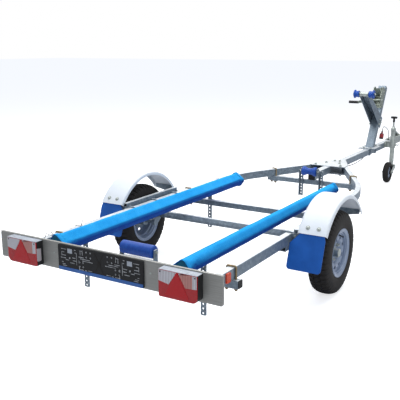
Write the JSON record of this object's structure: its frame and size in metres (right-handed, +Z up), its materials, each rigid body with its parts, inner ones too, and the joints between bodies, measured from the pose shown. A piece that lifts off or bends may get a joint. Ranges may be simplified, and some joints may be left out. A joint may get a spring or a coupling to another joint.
{
  "type": "boat trailer",
  "caption": "Galvanised single-axle boat trailer with bunks, keel rollers, winch post, jockey wheel and ball coupling.",
  "frame": {"origin": "centre of the bounding box at floor level", "axes": "+X right, +Y forwards to the coupling, +Z up"},
  "size_m": [1.58, 5.5, 1.0389],
  "materials": {
    "galvanised": "hot-dip galvanised, satin",
    "cap_black": "matte",
    "tyre_rubber": "matte",
    "rim_silver": "satin silver",
    "guard_white": "satin",
    "flap_blue": "matte",
    "carpet_blue": "carpet",
    "roller_blue": "satin",
    "board_grey": "satin",
    "holder_black": "matte",
    "lamp_red": "gloss",
    "reflector_orange": "gloss",
    "winch_grey": "zinc, satin",
    "coupling_zinc": "zinc, satin",
    "plug_red": "satin",
    "grip_black": "matte"
  },
  "bodies": {
    "frame": {"rail_left": "galvanised", "rail_right": "galvanised", "drawbar": "galvanised", "crossmember_rear": "galvanised", "crossmember_mid": "galvanised", "crossmember_front": "galvanised", "end_caps": "cap_black", "frame_u_bolts": "galvanised", "frame_clamp_plates": "galvanised", "axle_rails": "galvanised", "axle_u_bolts": "galvanised", "nose_plates": "galvanised", "axle_beam": "galvanised", "axle_plates": "galvanised", "suspension_arm_left": "galvanised", "suspension_arm_right": "galvanised", "mudguard_left": "guard_white", "mudguard_right": "guard_white", "mudguard_stays": "galvanised", "mudflaps": "flap_blue", "bunk_pad_left": "carpet_blue", "bunk_pad_right": "carpet_blue", "bunk_uprights": "galvanised", "rear_roller_bracket": "galvanised", "front_roller_bracket": "galvanised", "light_board": "board_grey", "plate_holder": "holder_black", "lamp_housings": "holder_black", "lamp_lenses": "lamp_red", "side_reflectors": "reflector_orange", "winch_post": "galvanised", "post_base_plate": "galvanised", "post_u_bolts": "galvanised", "snubber_arm": "galvanised", "winch_frame": "winch_grey", "jockey_clamp": "galvanised", "coupling_head": "coupling_zinc", "coupling_handle": "coupling_zinc", "drawbar_cable": "cap_black", "cable_gland": "cap_black", "tow_cable": "cap_black", "tow_plug": "plug_red"},
    "wheel_left": {"tyre_left": "tyre_rubber", "rim_left": "rim_silver", "hub_left": "galvanised"},
    "wheel_right": {"tyre_right": "tyre_rubber", "rim_right": "rim_silver", "hub_right": "galvanised"},
    "keel_roller_rear": {"keel_roller_rear": "roller_blue"},
    "keel_roller_front": {"keel_roller_front": "roller_blue"},
    "bow_roller_left": {"bow_roller_left": "roller_blue"},
    "bow_roller_right": {"bow_roller_right": "roller_blue"},
    "winch_drum": {"winch_drum": "winch_grey"},
    "winch_crank": {"winch_crank": "winch_grey", "crank_grip": "grip_black"},
    "jockey_post": {"jockey_tube": "galvanised", "jockey_handle": "grip_black"},
    "jockey_leg": {"jockey_leg": "galvanised"},
    "jockey_fork": {"jockey_fork": "galvanised"},
    "jockey_wheel": {"jockey_wheel": "tyre_rubber"}
  },
  "joints": [
    {"name": "wheel_left_spin", "type": "hinge", "parent": "frame", "child": "wheel_left", "pos_m": [-0.711, -1.428, 0.254], "axis": [1, 0, 0], "continuous": true},
    {"name": "wheel_right_spin", "type": "hinge", "parent": "frame", "child": "wheel_right", "pos_m": [0.711, -1.428, 0.254], "axis": [1, 0, 0], "continuous": true},
    {"name": "keel_roller_rear_spin", "type": "hinge", "parent": "frame", "child": "keel_roller_rear", "pos_m": [0, -2.39, 0.415], "axis": [1, 0, 0], "continuous": true},
    {"name": "keel_roller_front_spin", "type": "hinge", "parent": "frame", "child": "keel_roller_front", "pos_m": [0, -0.034, 0.441], "axis": [1, 0, 0], "continuous": true},
    {"name": "bow_roller_left_spin", "type": "hinge", "parent": "frame", "child": "bow_roller_left", "pos_m": [-0.074, 1.325, 0.988], "axis": [1, 0, 0], "continuous": true},
    {"name": "bow_roller_right_spin", "type": "hinge", "parent": "frame", "child": "bow_roller_right", "pos_m": [0.074, 1.325, 0.988], "axis": [1, 0, 0], "continuous": true},
    {"name": "winch_crank_spin", "type": "hinge", "parent": "frame", "child": "winch_crank", "pos_m": [0, 1.74788, 0.90364], "axis": [1, 0, 0], "continuous": true},
    {"name": "winch_drum_spin", "type": "hinge", "parent": "frame", "child": "winch_drum", "pos_m": [0, 1.79099, 0.97921], "axis": [1, 0, 0], "continuous": true},
    {"name": "jockey_clamp_slide", "type": "slide", "parent": "frame", "child": "jockey_post", "axis": [0, 0, 1], "range_m": [0, 0.13]},
    {"name": "jockey_leg_slide", "type": "slide", "parent": "jockey_post", "child": "jockey_leg", "axis": [0, 0, 1], "range_m": [-0.18, 0.02]},
    {"name": "jockey_swivel", "type": "hinge", "parent": "jockey_leg", "child": "jockey_fork", "pos_m": [0.105, 2.092, 0.18], "axis": [0, 0, 1], "continuous": true},
    {"name": "jockey_wheel_spin", "type": "hinge", "parent": "jockey_fork", "child": "jockey_wheel", "pos_m": [0.105, 1.964, 0.112], "axis": [1, 0, 0], "continuous": true}
  ],
  "couplings": [
    {"joint": "winch_drum_spin", "follows": "winch_crank_spin", "ratio": -0.25}
  ]
}
